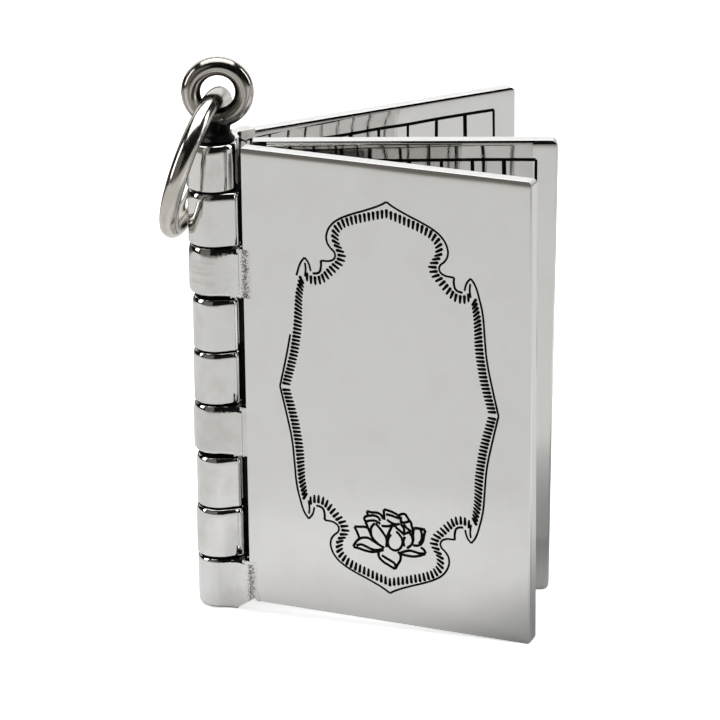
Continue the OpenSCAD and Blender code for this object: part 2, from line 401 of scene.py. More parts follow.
def edit_all(piece):
    take(piece)
    bpy.ops.object.mode_set(mode="EDIT")
    bpy.ops.mesh.select_all(action="SELECT")


def leave_edit():
    bpy.ops.object.mode_set(mode="OBJECT")


def split(piece, place, way):
    """Cuts a piece's faces along a plane and keeps both sides."""
    edit_faces(piece, lambda centre, normal: True)
    bpy.ops.mesh.bisect(plane_co=place, plane_no=way)
    leave_edit()


def bevel(piece, wanted, offset, segments, **settings):
    """Rounds the edges whose two ends are wanted."""
    edit_edges(piece, wanted)
    bpy.ops.mesh.bevel(offset=offset, segments=segments, affect="EDGES", **settings)
    leave_edit()


def smooth(piece, angle):
    take(piece)
    bpy.ops.object.shade_smooth_by_angle(angle=math.radians(angle))


def to_metres(piece):
    fix_place(piece, scale=(MM, MM, MM))


def paint(piece, *materials):
    piece.data.materials.clear()
    for material in materials:
        piece.data.materials.append(material)


def cube(size, centre=(0, 0, 0)):
    """A block of a given size about a point."""
    bpy.ops.mesh.primitive_cube_add(size=1, location=centre)
    piece = bpy.context.active_object
    fix_place(piece, scale=size)
    return piece


def soft_cube(size, centre):
    """A block with slightly broken edges."""
    piece = cube(size, centre)
    shape_with(piece, "BEVEL", width=0.05, segments=2, limit_method="ANGLE",
               angle_limit=math.radians(40))
    return piece


def cone(sides, low_radius, high_radius, height, foot=(0, 0, 0)):
    """A round body that stands on a point; a cylinder, where its radii are equal."""
    x, y, z = foot
    bpy.ops.mesh.primitive_cone_add(
        vertices=sides, radius1=low_radius, radius2=high_radius, depth=height,
        location=(x, y, z + height / 2))
    return bpy.context.active_object


def torus(radius, wire, segments, centre, turn):
    bpy.ops.mesh.primitive_torus_add(
        major_radius=radius, minor_radius=wire, major_segments=segments, minor_segments=48,
        location=centre, rotation=turn)
    return bpy.context.active_object


def curve_mesh(name, points, **settings):
    """The mesh of a smooth curve through points, which are (x, y, z, True for a corner); a
    flat curve is closed."""
    curve = bpy.data.curves.new(name, "CURVE")
    for key, value in settings.items():
        setattr(curve, key, value)
    spline = curve.splines.new("BEZIER")
    spline.bezier_points.add(len(points) - 1)
    spline.use_cyclic_u = curve.dimensions == "2D"
    for knot, (x, y, z, sharp) in zip(spline.bezier_points, points):
        knot.co = (x, y, z)
        knot.handle_left_type = knot.handle_right_type = "VECTOR" if sharp else "AUTO"
    made = bpy.data.objects.new(name, curve)
    bpy.context.collection.objects.link(made)
    take(made)
    bpy.ops.object.convert(target="MESH")
    made = bpy.context.view_layer.objects.active
    edit_all(made)
    bpy.ops.mesh.remove_doubles(threshold=0.001)
    leave_edit()
    return made


def hand_over(piece, body, node):
    """Ties a finished piece to its body and to the solid it stands for."""
    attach(piece, body)
    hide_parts(node)


# Materials

def feed(tree, node, inputs):
    """Wires sockets into a node's inputs, or sets the inputs' values."""
    for name, value in inputs.items():
        if isinstance(value, bpy.types.NodeSocket):
            tree.links.new(value, node.inputs[name])
        else:
            node.inputs[name].default_value = value


def add_node(tree, kind, inputs, **settings):
    """Adds a shader node. Its settings come first, because they decide which inputs it has."""
    node = tree.nodes.new("ShaderNode" + kind)
    for name, value in settings.items():
        setattr(node, name, value)
    feed(tree, node, inputs)
    return node


def object_place(tree):
    return add_node(tree, "TexCoord", {}).outputs["Object"]


def axes(tree, place):
    return add_node(tree, "SeparateXYZ", {"Vector": place}).outputs


def mapped(tree, place, scale, rotation=(0, 0, 0)):
    inputs = {"Vector": place, "Rotation": rotation, "Scale": scale}
    return add_node(tree, "Mapping", inputs).outputs["Vector"]


def distance(tree, place, centre):
    """The distance from a point, which is given in millimetres."""
    point = [value * MM for value in centre]
    return add_node(tree, "VectorMath", {0: place, 1: point}, operation="DISTANCE").outputs["Value"]


def noise(tree, place, scale, detail, roughness=0.5, **settings):
    inputs = {"Vector": place, "Scale": scale, "Detail": detail, "Roughness": roughness}
    return add_node(tree, "TexNoise", inputs, **settings).outputs["Fac"]


def maths(tree, operation, *values, **settings):
    return add_node(tree, "Math", dict(enumerate(values)), operation=operation, **settings).outputs[0]


def ramp(tree, value, low, high, to_low=0, to_high=1, kind="LINEAR"):
    """Maps low to to_low and high to to_high, and keeps what lies beyond at these ends."""
    inputs = {"Value": value, "From Min": low, "From Max": high, "To Min": to_low, "To Max": to_high}
    return add_node(tree, "MapRange", inputs, interpolation_type=kind).outputs["Result"]


def soft_ramp(tree, value, low, high):
    """The same between 0 and 1 with soft ends; low and high are in millimetres."""
    return ramp(tree, value, low * MM, high * MM, kind="SMOOTHSTEP")


def mix(tree, factor, first, second, kind="RGBA"):
    inputs = {"Factor": factor, "A": first, "B": second}
    return add_node(tree, "Mix", inputs, data_type=kind).outputs["Result"]


def opaque(tone):
    return (*tone, 1.0)


def node_group(name, inputs, outputs):
    """A shader node group of values, with what comes into it and its end node."""
    group = bpy.data.node_groups.new(name, "ShaderNodeTree")
    for socket, value in inputs.items():
        made = group.interface.new_socket(name=socket, in_out="INPUT", socket_type="NodeSocketFloat")
        made.default_value = value
    for socket in outputs:
        group.interface.new_socket(name=socket, in_out="OUTPUT", socket_type="NodeSocketFloat")
    start = group.nodes.new("NodeGroupInput")
    end = group.nodes.new("NodeGroupOutput")
    return group, start.outputs, end


def use_group(tree, name, make, inputs):
    """Adds a node for a shared group, which is made the first time; gives its outputs."""
    group = bpy.data.node_groups.get(name) or make(name)
    return add_node(tree, "Group", inputs, node_tree=group).outputs


def scratch_group(name):
    """Fine polishing scratches in two directions, as a mask."""
    group, start, end = node_group(name, {"Density": 2500.0}, ("Mask",))
    place = object_place(group)
    masks = []
    for turn, stretch in SCRATCH_WAYS:
        way = mapped(group, place, stretch, (0.1, turn, 0.2))
        masks.append(ramp(group, noise(group, way, start["Density"], 2.0, 0.6), 0.56, 0.72))
    feed(group, end, {"Mask": maths(group, "MAXIMUM", *masks)})
    return group


def wave_group(name):
    """Slow waves left by hammer and file, and blotches of faint tarnish."""
    group, start, end = node_group(name, {"Wave scale": 160.0, "Blotch scale": 420.0}, ("Height", "Blotch"))
    place = object_place(group)
    blotches = noise(group, place, start["Blotch scale"], 4.0, 0.62)
    feed(group, end, {
        "Height": noise(group, place, start["Wave scale"], 1.0, 0.4),
        "Blotch": ramp(group, blotches, 0.48, 0.75),
    })
    return group


def seam_group(name):
    """The dark, pitted solder line beside the front cover's knuckles, and brush marks."""
    group, start, end = node_group(name, {"Pit scale": 9000.0}, ("Seam", "Brushed"))
    place = object_place(group)
    x, _, z = axes(group, place)
    away = distance(group, mapped(group, place, (1, 1, 0)), SEAM_PLACE)
    near = ramp(group, away, *[reach * MM for reach in SEAM_FADE])
    pits = noise(group, place, start["Pit scale"], 3.0, 0.65)
    edge = ramp(group, maths(group, "MULTIPLY_ADD", near, 0.25, pits), 0.62, 0.84)
    lowest = maths(group, "LESS_THAN", z, SEAMS[1] * MM)
    third = maths(group, "GREATER_THAN", z, SEAMS[6] * MM)
    marks = noise(group, mapped(group, place, (0.08, 0.08, 1), (0, 0.2, 0)), 4200.0, 2.0, 0.6)
    left = maths(group, "MULTIPLY", soft_ramp(group, x, 0.3, -0.2), third)
    feed(group, end, {
        "Seam": maths(group, "MULTIPLY", edge, maths(group, "ADD", lowest, third)),
        "Brushed": maths(group, "MULTIPLY", ramp(group, marks, 0.45, 0.65), left),
    })
    return group


def new_material(name):
    """A material with its node tree and its shader."""
    material = bpy.data.materials.new(name)
    material.use_nodes = True
    return material, material.node_tree, material.node_tree.nodes["Principled BSDF"]


def silver_material(name, roughness, wave_depth, tarnish_share, density, tint=(1, 1, 1)):
    """Silver with scratches, slow waves and a trace of tarnish."""
    look = bpy.context.scene.pendant_look
    material, tree, shader = new_material(name)
    scratches = use_group(tree, "Polishing scratches", scratch_group, {"Density": density})["Mask"]
    finish = use_group(tree, "Hand finish", wave_group, {})
    clean, dull = [
        opaque([part * share for part, share in zip(tone, tint)]) for tone in (look.silver, look.tarnish)]
    waves = add_node(tree, "Bump", {"Strength": 1.0, "Distance": wave_depth, "Height": finish["Height"]})
    lines = add_node(
        tree, "Bump",
        {"Strength": 0.08, "Distance": 0.004 * MM, "Height": scratches, "Normal": waves.outputs["Normal"]},
        invert=True)
    feed(tree, shader, {
        "Metallic": 1.0,
        "Base Color": mix(tree, maths(tree, "MULTIPLY", finish["Blotch"], tarnish_share), clean, dull),
        "Roughness": ramp(tree, scratches, 0, 1, roughness, roughness + 0.06),
        "Normal": lines.outputs["Normal"],
    })
    return material


def seamed_material():
    """The polished silver of the front cover's knuckles with their solder line."""
    look = bpy.context.scene.pendant_look
    material = silver_material("seamed silver", look.polish_roughness, 0.03 * MM, 0.5, 4200.0, SEAMED_TINT)
    tree = material.node_tree
    shader = tree.nodes["Principled BSDF"]
    base, rough = [shader.inputs[name].links[0].from_socket for name in ("Base Color", "Roughness")]
    seam = use_group(tree, "Soldered seam", seam_group, {})
    marked = mix(tree, maths(tree, "MULTIPLY", seam["Brushed"], 0.4), base, opaque(look.tarnish))
    feed(tree, shader, {
        "Base Color": mix(tree, seam["Seam"], marked, opaque(SEAM_COLOUR)),
        "Roughness": mix(tree, seam["Seam"], rough, 0.6, "FLOAT"),
    })
    return material


def patina_material():
    """Duller, browner silver of the soldered eye, with painted shade in its hole and dark solder
    around its neck.
    """
    look = bpy.context.scene.pendant_look
    sizes = bpy.context.scene.pendant_barrel
    material, tree, shader = new_material("patinated silver")
    place = object_place(tree)
    reach = distance(tree, mapped(tree, place, (1, 0, 1)), (sizes.eye_offset, 0, sizes.eye_height))
    # Painted shade towards the hole, dark solder towards the neck
    hole = soft_ramp(tree, reach, *HOLE_SHADE_FADE)
    foot = soft_ramp(tree, axes(tree, place)["Z"], *NECK_FADE)
    grain = noise(tree, place, 900.0, 4.0, 0.6)
    circles = add_node(tree, "CombineXYZ", {"X": reach}).outputs["Vector"]
    streaks = ramp(tree, noise(tree, circles, 6000.0, 3.0, 0.6, noise_dimensions="2D"), 0.38, 0.68)
    metal = mix(tree, streaks, opaque(PATINA_LIGHT), opaque(PATINA_BROWN))
    dark = maths(tree, "MULTIPLY", maths(tree, "MAXIMUM", foot, hole),
                 ramp(tree, grain, 0.3, 0.5, 0.75, 1.1), use_clamp=True)
    bump = add_node(tree, "Bump", {"Strength": 0.35, "Distance": 0.02 * MM, "Height": grain})
    feed(tree, shader, {
        "Metallic": 1.0,
        "Base Color": mix(tree, dark, metal, opaque(look.oxide)),
        "Roughness": ramp(tree, dark, 0, 1, 0.14, 0.5),
        "Normal": bump.outputs["Normal"],
    })
    return material


def oxide_and_shade_material():
    """Dark oxide in the engraved lines and recesses, a little grey where polish caught it. The
    same dark is painted shade beside the neck and in the slots beside the barrel, and a
    painted dark reflection on the front cover's upper rims.
    """
    look = bpy.context.scene.pendant_look
    material, tree, shader = new_material("oxide and painted shade")
    worn = ramp(tree, noise(tree, object_place(tree), 1800.0, 3.0), 0.6, 0.85, 0, 0.2)
    feed(tree, shader, {
        "Base Color": mix(tree, worn, opaque(look.oxide), opaque(WORN_OXIDE)),
        "Roughness": 0.7,
        "Specular IOR Level": 0.08,
    })
    return material


def finishes():
    """The pendant's three finishes, made once."""
    look = bpy.context.scene.pendant_look
    made = bpy.data.materials
    plate_silver = made.get("satin silver") or silver_material(
        "satin silver", look.plate_roughness, 0.1 * MM, 0.12, 5200.0)
    bright = made.get("polished silver") or silver_material(
        "polished silver", look.polish_roughness, 0.03 * MM, 0.55, 4200.0)
    oxide = made.get("oxide and painted shade") or oxide_and_shade_material()
    return plate_silver, bright, oxide


# Engraving tools: each is a solid that is later cut out of a plate

def groove(points, width):
    """A round cutter that follows a smooth line through the points."""
    return curve_mesh(
        "groove", [(*point, False) for point in points], dimensions="3D", bevel_depth=width / 2,
        bevel_resolution=1, resolution_u=4, use_fill_caps=True)


def stroke(x, y, z, lean, length, width):
    """A short cutter, cut in from its upper end, which is the wider one; lean is in degrees
    from upright."""
    cutter = cone(8, width * 0.36, width / 2, length * 0.7, (0, 0, -length * 0.35))
    for end in (-1, 1):
        edit_faces(cutter, lambda centre, normal: normal.z * end > FACING)
        bpy.ops.mesh.extrude_region_move(
            TRANSFORM_OT_translate={"value": (0, 0, end * length * 0.15)})
        bpy.ops.transform.resize(value=(0.55, 0.55, 1))
        leave_edit()
    fix_place(cutter, rotation_euler=(0, math.radians(lean), 0), location=(x, y, z))
    return cutter


def spread(stations, pitch):
    """Places along a line of stations, a pitch apart, with the lean between them."""
    places = []
    left = 0.0
    for start, end in zip(stations, stations[1:]):
        length = math.hypot(end[0] - start[0], end[1] - start[1])
        while left <= length:
            share = left / length
            places.append([a + share * (b - a) for a, b in zip(start, end)])
            left += pitch
        left -= length
    return places


def cartouche(centre_x, centre_z, face):
    """The engraved border: a thin line and an inner row of short strokes."""
    sizes = bpy.context.scene.pendant_engraving
    places = spread(STROKE_STATIONS, sizes.stroke_pitch)
    places += spread(FLANK_STATIONS, sizes.stroke_pitch * 0.84)
    cutters = []
    for right in (-1, 1):
        for up in (-1, 1):
            lines = list(CARTOUCHE_LINES)
            if right < 0 < up:
                whole = lines.pop()
                lines += [whole[:WORN[0]], whole[WORN[1]:]]
            for line in lines:
                points = [(centre_x + right * x, face, centre_z + up * z) for x, z in line]
                cutters.append(groove(points, sizes.line))
            for x, z, lean in places:
                turn = right * lean if up > 0 else 180 - right * lean
                cutters.append(stroke(
                    centre_x + right * x, face, centre_z + up * z, turn,
                    sizes.stroke_length, sizes.stroke))
    return cutters


def lotus(centre_x, centre_z, face):
    """The engraved flower."""
    width = bpy.context.scene.pendant_engraving.petal
    at_x = centre_x + LOTUS_CENTRE[0]
    at_z = centre_z + LOTUS_CENTRE[1]
    return [groove([(at_x + x, face, at_z + z) for x, z in line], width) for line in LOTUS_LINES]


def ruled_page(left, right, low, high, face, columns):
    """A ruled frame with upright column lines, cut by hand; the columns are left empty."""
    width = bpy.context.scene.pendant_engraving.rule
    hand = random.Random(columns)
    cutters = []
    for z in (low, high):
        cutters.append(groove(
            [(left + share * (right - left) / 6, face, z + hand.uniform(-0.03, 0.03))
             for share in range(7)], width))
    for number in range(columns + 1):
        x = right - number * (right - left) / columns
        sway = 0.03 if number in (0, columns) else 0.05
        points = [(x + hand.uniform(-sway, sway), face, low + share * (high - low) / 9)
                  for share in range(10)]
        cutters.append(groove(points, width * hand.uniform(0.8, 1.35)))
    return cutters


# Leaves

def block(width, depth, height, slant):
    """A block about the origin; a slant, in degrees, leans its upright edges."""
    made = cube((width, depth, height))
    for end in (-1, 1):
        edit_faces(made, lambda centre, normal: normal.z * end > FACING)
        bpy.ops.transform.translate(value=(end * math.tan(math.radians(slant)) * height / 2, 0, 0))
        leave_edit()
    return made


def plate(left, right, low, height, corner, middle, slant=0):
    """A flat plate between left and right with two rounded corners at its free side; middle
    is its place across. Its edges are rounded wider along the faces than across them, as by
    polishing: it is what three blocks share, one with rounded upright edges, one with rounded
    level edges, one with the corners."""
    sizes = bpy.context.scene.pendant_leaves
    width = right - left
    upright = sizes.edge_free / sizes.edge_deep
    level = sizes.edge_wide / sizes.edge_deep
    sheet = block(width, sizes.thickness * upright, height + 2, slant)
    for side, offset in ((1, sizes.edge_free), (-1, sizes.edge_spine)):
        bevel(sheet, lambda a, b: abs(a.z - b.z) > height and a.x * side > 0, offset, 6)
    fix_place(sheet, scale=(1, 1 / upright, 1))
    long = block(width + 2, sizes.thickness * level, height, 0)
    bevel(long, lambda a, b: abs(a.x - b.x) > width, sizes.edge_wide, 8)
    fix_place(long, scale=(1, 1 / level, 1))
    outline = block(width + 1.01, sizes.thickness * 2, height + 0.01, slant)
    bevel(outline, lambda a, b: abs(a.y - b.y) > sizes.thickness and a.x > 0, corner, 8)
    fix_place(outline, location=(-0.51, 0, 0))
    for other in (long, outline):
        shape_with(sheet, "BOOLEAN", operation="INTERSECT", solver="EXACT", object=other)
        bpy.data.objects.remove(other)
    fix_place(sheet, location=((left + right) / 2, middle, low + height / 2))
    return sheet


def knuckle_ends(number):
    """The heights of a knuckle's lower and upper end."""
    return SEAMS[number] + SEAM_GAPS[number] / 2, SEAMS[number + 1] - SEAM_GAPS[number + 1] / 2


def on_circle(radius, turn):
    """A point of a round outline; the turn is in degrees from -Y towards +X."""
    angle = math.radians(turn)
    return radius * math.sin(angle), -radius * math.cos(angle), False


def flat_start(number):
    """Where the flat of a squarer knuckle leaves its round part, in degrees."""
    return 90 - 2 * math.degrees(math.atan(SQUARENESS[number]))


def right_side(number, swing):
    """The right side of a knuckle as photographed, from front to back: a flat, a softly
    rounded corner and the side; turned back by the swing, in degrees, of its leaf."""
    radius = KNUCKLE_RADII[number]
    soft = bpy.context.scene.pendant_barrel.corner
    first = flat_start(number)
    start = Vector(on_circle(radius, first)[:2])
    corner = Vector((radius, -radius * SQUARENESS[number]))
    along = (corner - start).normalized()
    points = [Vector(on_circle(radius, first - 7)[:2]), start, start.lerp(corner, 0.25),
              corner - 2.2 * soft * along, corner - soft * along, corner + Vector((0, soft)),
              Vector((radius, 0))]
    back = Matrix.Rotation(-math.radians(swing), 2)
    return [(*(back @ point), False) for point in points]


def outline_of_tube(number, swing):
    """Outline of a knuckle of the middle leaf, which stands open by the swing."""
    radius = KNUCKLE_RADII[number]
    left = [on_circle(radius, turn - swing) for turn in range(-150, int(flat_start(number) - 17), 30)]
    back = [on_circle(radius, turn - swing) for turn in (115, 145, 180)]
    return left + right_side(number, swing) + back


def mirrored(outline):
    """The same outline with its front and back exchanged."""
    return [(x, -y, sharp) for x, y, sharp in reversed(outline)]


def outline_of_cover_tube(number, side, swing):
    """Outline of a cover's knuckle with its web; side is 1 for the front cover, whose
    outside is at -Y, and -1 for the back cover."""
    radius = KNUCKLE_RADII[number]
    points = [on_circle(radius, turn) for turn in COVER_TUBE] + list(COVER_WEB)
    if SQUARENESS[number]:
        return mirrored(points[1:] + mirrored(right_side(number, swing)))
    if number == FLUSH_WEB:
        points = [(x, y + 0.03 if y < -1.59 and x > 2.5 else y, sharp) for x, y, sharp in points]
    points += [on_circle(radius, turn) for turn in COVER_TUBE_BACK]
    return points if side > 0 else mirrored(points)


def knuckle(number, outline):
    """One knuckle of the barrel: a closed outline raised to its height, with a soft upper
    rim and a finer lower one."""
    sizes = bpy.context.scene.pendant_barrel
    in_front = number in FRONT_KNUCKLES
    low, high = knuckle_ends(number)
    squeeze = sizes.rim_in / RIM_HEIGHTS[number]
    depth = (high - low) * squeeze
    tube = curve_mesh("knuckle", [(x, y, 0, sharp) for x, y, sharp in outline],
                      dimensions="2D", fill_mode="NONE", resolution_u=6)
    edit_all(tube)
    bpy.ops.mesh.edge_face_add()
    bpy.ops.mesh.extrude_region_move(TRANSFORM_OT_translate={"value": (0, 0, depth)})
    bpy.ops.mesh.select_all(action="SELECT")
    bpy.ops.mesh.normals_make_consistent(inside=False)
    leave_edit()
    end = sizes.rim_web if in_front else sizes.rim_end
    bevel(tube, lambda a, b: min(a.z, b.z) > depth * 0.9 and max(a.x, b.x) < end,
          sizes.rim_in, 8, clamp_overlap=False)
    fix_place(tube, scale=(1, 1, 1 / squeeze))
    if in_front:
        foot = high - low - RIM_HEIGHTS[number] - 0.01
        for reach in RIM_FADE:
            edit_edges(tube, lambda a, b: min(a.x, b.x) > reach and min(a.z, b.z) > foot)
            bpy.ops.transform.resize(value=(1, 1, FADE_SHARE), center_override=(0, 0, high - low))
            leave_edit()
    bevel(tube, lambda a, b: max(a.z, b.z) < 0.01 and max(a.x, b.x) < sizes.rim_end,
          sizes.rim_front if in_front else sizes.rim_low, 4, clamp_overlap=False)
    fix_place(tube, location=(0, 0, low))
    return tube


def strap(number, reach):
    """The metal that joins a middle knuckle to its leaf."""
    low = SEAMS[number] + 0.05
    high = SEAMS[number + 1] - 0.05
    thickness = bpy.context.scene.pendant_leaves.thickness - 0.02
    return soft_cube((reach, thickness, high - low), (reach / 2, 0, (low + high) / 2))


def bore_cutter():
    sizes = bpy.context.scene.pendant_barrel
    return cone(sizes.sides, sizes.bore, sizes.bore, 40, (0, 0, SEAMS[-1] / 2 - 20))


def foot_cutters():
    """Two blocks that trim the lowest web: it rises from the barrel's end to the cover."""
    cutters = []
    for x, z, size, lean in FOOT_CUTS:
        cutter = cube((size, 4, 2), (size / 2 if lean else 0.5 - size / 2, -1.2, -1))
        fix_place(cutter, rotation_euler=(0, math.radians(lean), 0), location=(x, 0, z))
        cutters.append(cutter)
    return cutters


def cut(piece, cutters):
    """Cuts all the cutters out of a piece whose own shells may cross."""
    tool = join(cutters, "cutters")
    shape_with(piece, "BOOLEAN", operation="DIFFERENCE", solver="EXACT", object=tool,
               use_self=True, material_mode="TRANSFER")
    bpy.data.objects.remove(tool)


def blacken(piece, finish, oxide_and_shade_faces):
    """Gives a piece its finish, and the dark one where the given test says so: oxide in a
    recess, and on some faces painted shade and a painted dark reflection.
    """
    paint(piece, finish, finishes()[2])
    for face in piece.data.polygons:
        face.material_index = 1 if oxide_and_shade_faces(face.center, face.normal) else 0


def leaf(name, sheet, knuckles, bores, grooves, swing, oxide_and_shade_faces, metal=None, dark_spine=0):
    """Joins a plate and its knuckles, cuts the bores and the engraving, and turns it. The
    plate is dark up to dark_spine; the given test says which faces of the knuckles are dark:
    oxide in recesses, and on the covers also painted shade and a painted dark reflection."""
    satin, bright, oxide = finishes()
    blacken(sheet, satin, lambda centre, normal: centre.x < dark_spine and normal.z < 0.3)
    for tube in knuckles:
        blacken(tube, metal or bright, oxide_and_shade_faces)
    for cutter in bores:
        paint(cutter, bright)
    for cutter in grooves:
        paint(cutter, oxide)
    piece = join([sheet, *knuckles], name)
    cut(piece, bores + grooves)
    smooth(piece, 32)
    shape_with(piece, "WEIGHTED_NORMAL", mode="FACE_AREA", weight=100, keep_sharp=True)
    fix_place(piece, rotation_euler=(0, 0, math.radians(swing)))
    to_metres(piece)
    return piece


class PENDANT_OT_front_cover(Operator):
    """Models the engraved front cover"""

    bl_idname = "pendant.front_cover"
    bl_label = "Front cover"

    def execute(self, context):
        sizes = context.scene.pendant_leaves
        margin = context.scene.pendant_engraving.margin
        inner = sizes.thickness / 2 + sizes.air
        outer = inner + sizes.thickness
        swing = -sizes.front_swing
        sheet = plate(sizes.cover_spine, sizes.front_reach, sizes.front_lift, sizes.front_height,
                      sizes.front_corner, -(inner + outer) / 2)
        tubes = [knuckle(number, outline_of_cover_tube(number, 1, swing)) for number in FRONT_KNUCKLES]
        for tube, number in zip(tubes, FRONT_KNUCKLES):
            self.rise(tube, *knuckle_ends(number))
        middle_x = (sizes.cover_spine + sizes.front_reach) / 2
        middle_z = sizes.front_lift + sizes.front_height / 2
        grooves = cartouche(middle_x + CARTOUCHE_SHIFT[0], middle_z + CARTOUCHE_SHIFT[1], -outer)
        grooves += lotus(middle_x, middle_z, -outer)
        grooves += ruled_page(
            sizes.cover_spine + FRONT_PAGE_SPINE, sizes.front_reach - margin, sizes.front_lift + margin,
            sizes.front_lift + sizes.front_height - margin, -inner, COLUMNS)
        piece = leaf("front_cover_silver", sheet, tubes, [bore_cutter(), *foot_cutters()], grooves,
                     swing, self.oxide_and_shade_faces, seamed_material())
        hand_over(piece, "front", "front_cover")
        return {"FINISHED"}

    def oxide_and_shade_faces(self, centre, normal):
        """Faces painted dark: the knuckles' ends and the webs' inner sides, as oxide in recesses,
        and the right part of the upper rims, as a painted dark reflection.
        """
        return (abs(normal.z) > LEVEL and centre.x < 1.66
                or centre.x > 1.5 and centre.y > -0.66
                # the right part of the upper rims: a painted dark reflection
                or 0.2 < normal.z < FACING and 0.55 < centre.x < 2.13)

    def rise(self, tube, foot, top):
        """Lifts the upper and lower edges of a web towards the plate, as the saw left them."""
        for reach, lift in WEB_RISE:
            split(tube, (reach, 0, 0), (1, 0, 0))
            edit_edges(tube, lambda a, b: min(a.x, b.x) > reach + 0.001 and (
                min(a.z, b.z) > top - 0.02 or max(a.z, b.z) < foot + 0.3))
            bpy.ops.transform.translate(value=(0, 0, lift))
            leave_edit()


class PENDANT_OT_middle_leaf(Operator):
    """Models the middle leaf, ruled on both sides"""

    bl_idname = "pendant.middle_leaf"
    bl_label = "Middle leaf"

    def execute(self, context):
        sizes = context.scene.pendant_leaves
        margin = context.scene.pendant_engraving.margin
        half = sizes.thickness / 2
        swing = -sizes.middle_swing
        sheet = plate(sizes.middle_spine, sizes.middle_reach, sizes.middle_lift, sizes.middle_height,
                      sizes.middle_corner, 0, sizes.middle_slant)
        split(sheet, (DARK_SPINE, 0, 0), (1, 0, 0))
        tubes = [knuckle(number, outline_of_tube(number, swing)) for number in MIDDLE_KNUCKLES]
        tubes += [strap(number, sizes.middle_spine + 0.5) for number in MIDDLE_KNUCKLES]
        grooves = []
        for face in (-half, half):
            grooves += ruled_page(
                sizes.middle_spine + MIDDLE_PAGE_SPINE, MIDDLE_PAGE_END, sizes.middle_lift + margin,
                sizes.middle_lift + sizes.middle_height - MIDDLE_PAGE_TOP, face, COLUMNS)
        piece = leaf("middle_leaf_silver", sheet, tubes, [bore_cutter()], grooves, swing,
                     self.oxide_and_shade_faces, dark_spine=DARK_SPINE)
        hand_over(piece, "leaf", "middle_leaf")
        return {"FINISHED"}

    def oxide_and_shade_faces(self, centre, normal):
        """The knuckles' ends and the straps."""
        return abs(normal.z) > LEVEL or centre.x > 1.25 and abs(centre.y) < 0.51


class PENDANT_OT_back_cover(Operator):
    """Models the back cover, ruled on its inner side"""

    bl_idname = "pendant.back_cover"
    bl_label = "Back cover"

    def execute(self, context):
        sizes = context.scene.pendant_leaves
        margin = context.scene.pendant_engraving.margin
        inner = sizes.thickness / 2 + sizes.air
        swing = sizes.back_swing
        sheet = plate(sizes.cover_spine, sizes.back_reach, sizes.back_lift, sizes.back_height,
                      sizes.back_corner, inner + sizes.thickness / 2)
        tubes = [knuckle(number, outline_of_cover_tube(number, -1, swing)) for number in BACK_KNUCKLES]
        # The uppermost knuckle is split so that its top beside the neck takes painted shade, while its
        # web's top stays bright above BRIGHT_WEB
        split(tubes[-1], (1.3, 0, 0), (1, 0, 0))
        split(tubes[-1], (0, 0, BRIGHT_WEB), (0, 0, 1))
        tubes.append(self.shade_sheet(sizes, inner))
        grooves = ruled_page(
            BACK_PAGE_START, sizes.back_reach - BACK_PAGE_SIDE, sizes.back_lift + margin,
            sizes.back_lift + sizes.back_height - BACK_PAGE_TOP, inner, BACK_COLUMNS)
        piece = leaf("back_cover_silver", sheet, tubes, [bore_cutter()], grooves, swing, self.oxide_and_shade_faces)
        hand_over(piece, "back", "back_cover")
        return {"FINISHED"}

    def oxide_and_shade_faces(self, centre, normal):
        """Faces painted dark: the webs' inner sides and the knuckles' ends, as oxide in recesses,
        but for the top of the uppermost web; the top of the uppermost knuckle beside the neck, as
        painted shade; and the front of the thin sheet in the slots, as painted shade.
        """
        return (centre.y < 0.72 and centre.x > 1.2 and centre.z < BRIGHT_WEB
                # the top of the uppermost knuckle beside the neck is painted shade
                or abs(normal.z) > LEVEL and (centre.z < 30 or centre.x < 1.35))

    def shade_sheet(self, sizes, inner):
        """A thin sheet along the cover's spine edge that closes the slots beside the barrel; its
        front is painted dark, as painted shade in the slots.
        """
        return soft_cube(
            (SHADE_SHEET_WIDTH, SHADE_SHEET_DEPTH, sizes.back_height - 1.4),
            (SHADE_SHEET_START + SHADE_SHEET_WIDTH / 2, inner + 0.22, sizes.back_lift + sizes.back_height / 2 - 0.4))


class PENDANT_OT_pin_and_eye(Operator):
    """Models the pin with its soldered neck and eye"""

    bl_idname = "pendant.pin_and_eye"
    bl_label = "Pin and eye"

    def execute(self, context):
        sizes = context.scene.pendant_barrel
        bright = finishes()[1]
        top = SEAMS[-1]
        foot = top + NECK_FOOT
        eye = torus(sizes.eye_radius, sizes.eye_wire, 128, (sizes.eye_offset, 0, sizes.eye_height),
                    (math.radians(90), 0, 0))
        neck = cone(64, sizes.neck, sizes.neck, sizes.eye_height - sizes.eye_radius - top,
                    (sizes.eye_offset, 0, foot))
        solder = cone(64, SOLDER_RADIUS, sizes.neck, SOLDER_HEIGHT, (SOLDER_PLACE, 0, foot))
        head = join([eye, neck, solder], "head")
        fix_place(head)
        shape_with(head, "REMESH", mode="VOXEL", voxel_size=0.045)
        shape_with(head, "SMOOTH", factor=0.6, iterations=14)
        paint(head, patina_material())
        pin = cone(sizes.sides, sizes.pin, sizes.pin, top + PIN_OVER)
        peen = cone(sizes.sides, PEEN_RADIUS, sizes.pin, PEEN_HEIGHT)
        paint(pin, bright)
        paint(peen, bright)
        piece = join([head, pin, peen], "pin_and_eye_silver")
        fix_place(piece)
        smooth(piece, 50)
        to_metres(piece)
        hand_over(piece, "pin", "hinge_pin")
        return {"FINISHED"}


